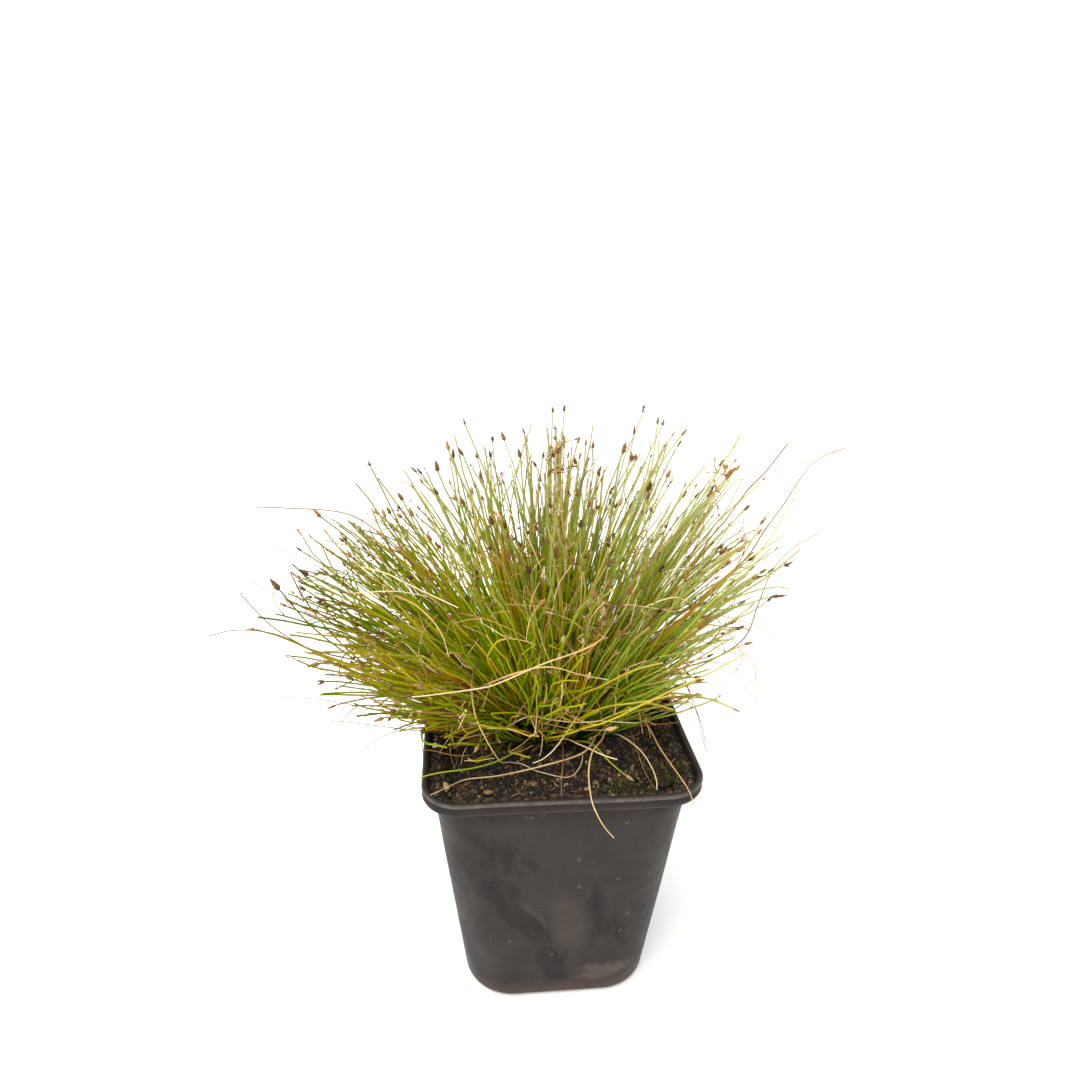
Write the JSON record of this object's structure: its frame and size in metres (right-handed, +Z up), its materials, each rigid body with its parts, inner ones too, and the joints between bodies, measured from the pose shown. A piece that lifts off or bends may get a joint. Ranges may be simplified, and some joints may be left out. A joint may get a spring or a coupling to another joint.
{
  "type": "potted fiber optic grass",
  "caption": "Small clump of fiber optic grass, fine arching green stems tipped with brown flower spikes, growing in peat in a dark square nursery pot.",
  "frame": {"origin": "middle of the pot's flat underside", "axes": "+Z up out of the pot, -Y towards the pot's front, the side with the bare peat; +X to the right seen from the front"},
  "size_m": [0.2042, 0.1733, 0.2062],
  "materials": {
    "pot_plastic": "moulded, matt, water-stained",
    "peat": "loose, dry, fibrous",
    "crown_mat": "matted stem bases",
    "green_stem": "smooth, satin",
    "bright_stem": "smooth, satin",
    "yellow_stem": "smooth, satin",
    "dry_stem": "dry, matt",
    "tan_stone": "rough grit",
    "perlite": "rough, foamed",
    "bark": "rough, fibrous",
    "moss": "soft, matt"
  },
  "bodies": {
    "root": {"pot": "pot_plastic", "soil": "peat", "crown": "crown_mat", "tuft_01": "green_stem", "tuft_02": "bright_stem", "tuft_03": "yellow_stem", "tuft_04": "green_stem", "tuft_05": "bright_stem", "tuft_06": "yellow_stem", "tuft_07": "green_stem", "tuft_08": "bright_stem", "tuft_09": "yellow_stem", "tuft_10": "green_stem", "tuft_11": "bright_stem", "tuft_12": "yellow_stem", "tuft_13": "green_stem", "tuft_14": "bright_stem", "tuft_15": "yellow_stem", "tuft_16": "green_stem", "tuft_17": "bright_stem", "tuft_18": "yellow_stem", "tuft_19": "green_stem", "tuft_20": "bright_stem", "tuft_21": "yellow_stem", "tuft_22": "green_stem", "tuft_23": "bright_stem", "tuft_24": "yellow_stem", "tuft_25": "green_stem", "tuft_26": "bright_stem", "tuft_27": "yellow_stem", "tuft_28": "green_stem", "tuft_29": "bright_stem", "tuft_30": "yellow_stem", "tuft_31": "green_stem", "tuft_32": "bright_stem", "tuft_33": "yellow_stem", "tuft_34": "green_stem", "tuft_35": "bright_stem", "stray_front": "dry_stem", "stray_front_right": "dry_stem", "stray_soil": "dry_stem", "stray_left_low": "dry_stem", "stray_left_high": "dry_stem", "stray_right_high": "dry_stem", "stray_right_low": "dry_stem", "tan_stone": "tan_stone", "perlite_bead": "perlite", "bark_scrap": "bark", "bark_chip": "bark", "moss_cushion_right": "moss", "moss_cushion_left": "moss"}
  },
  "joints": []
}
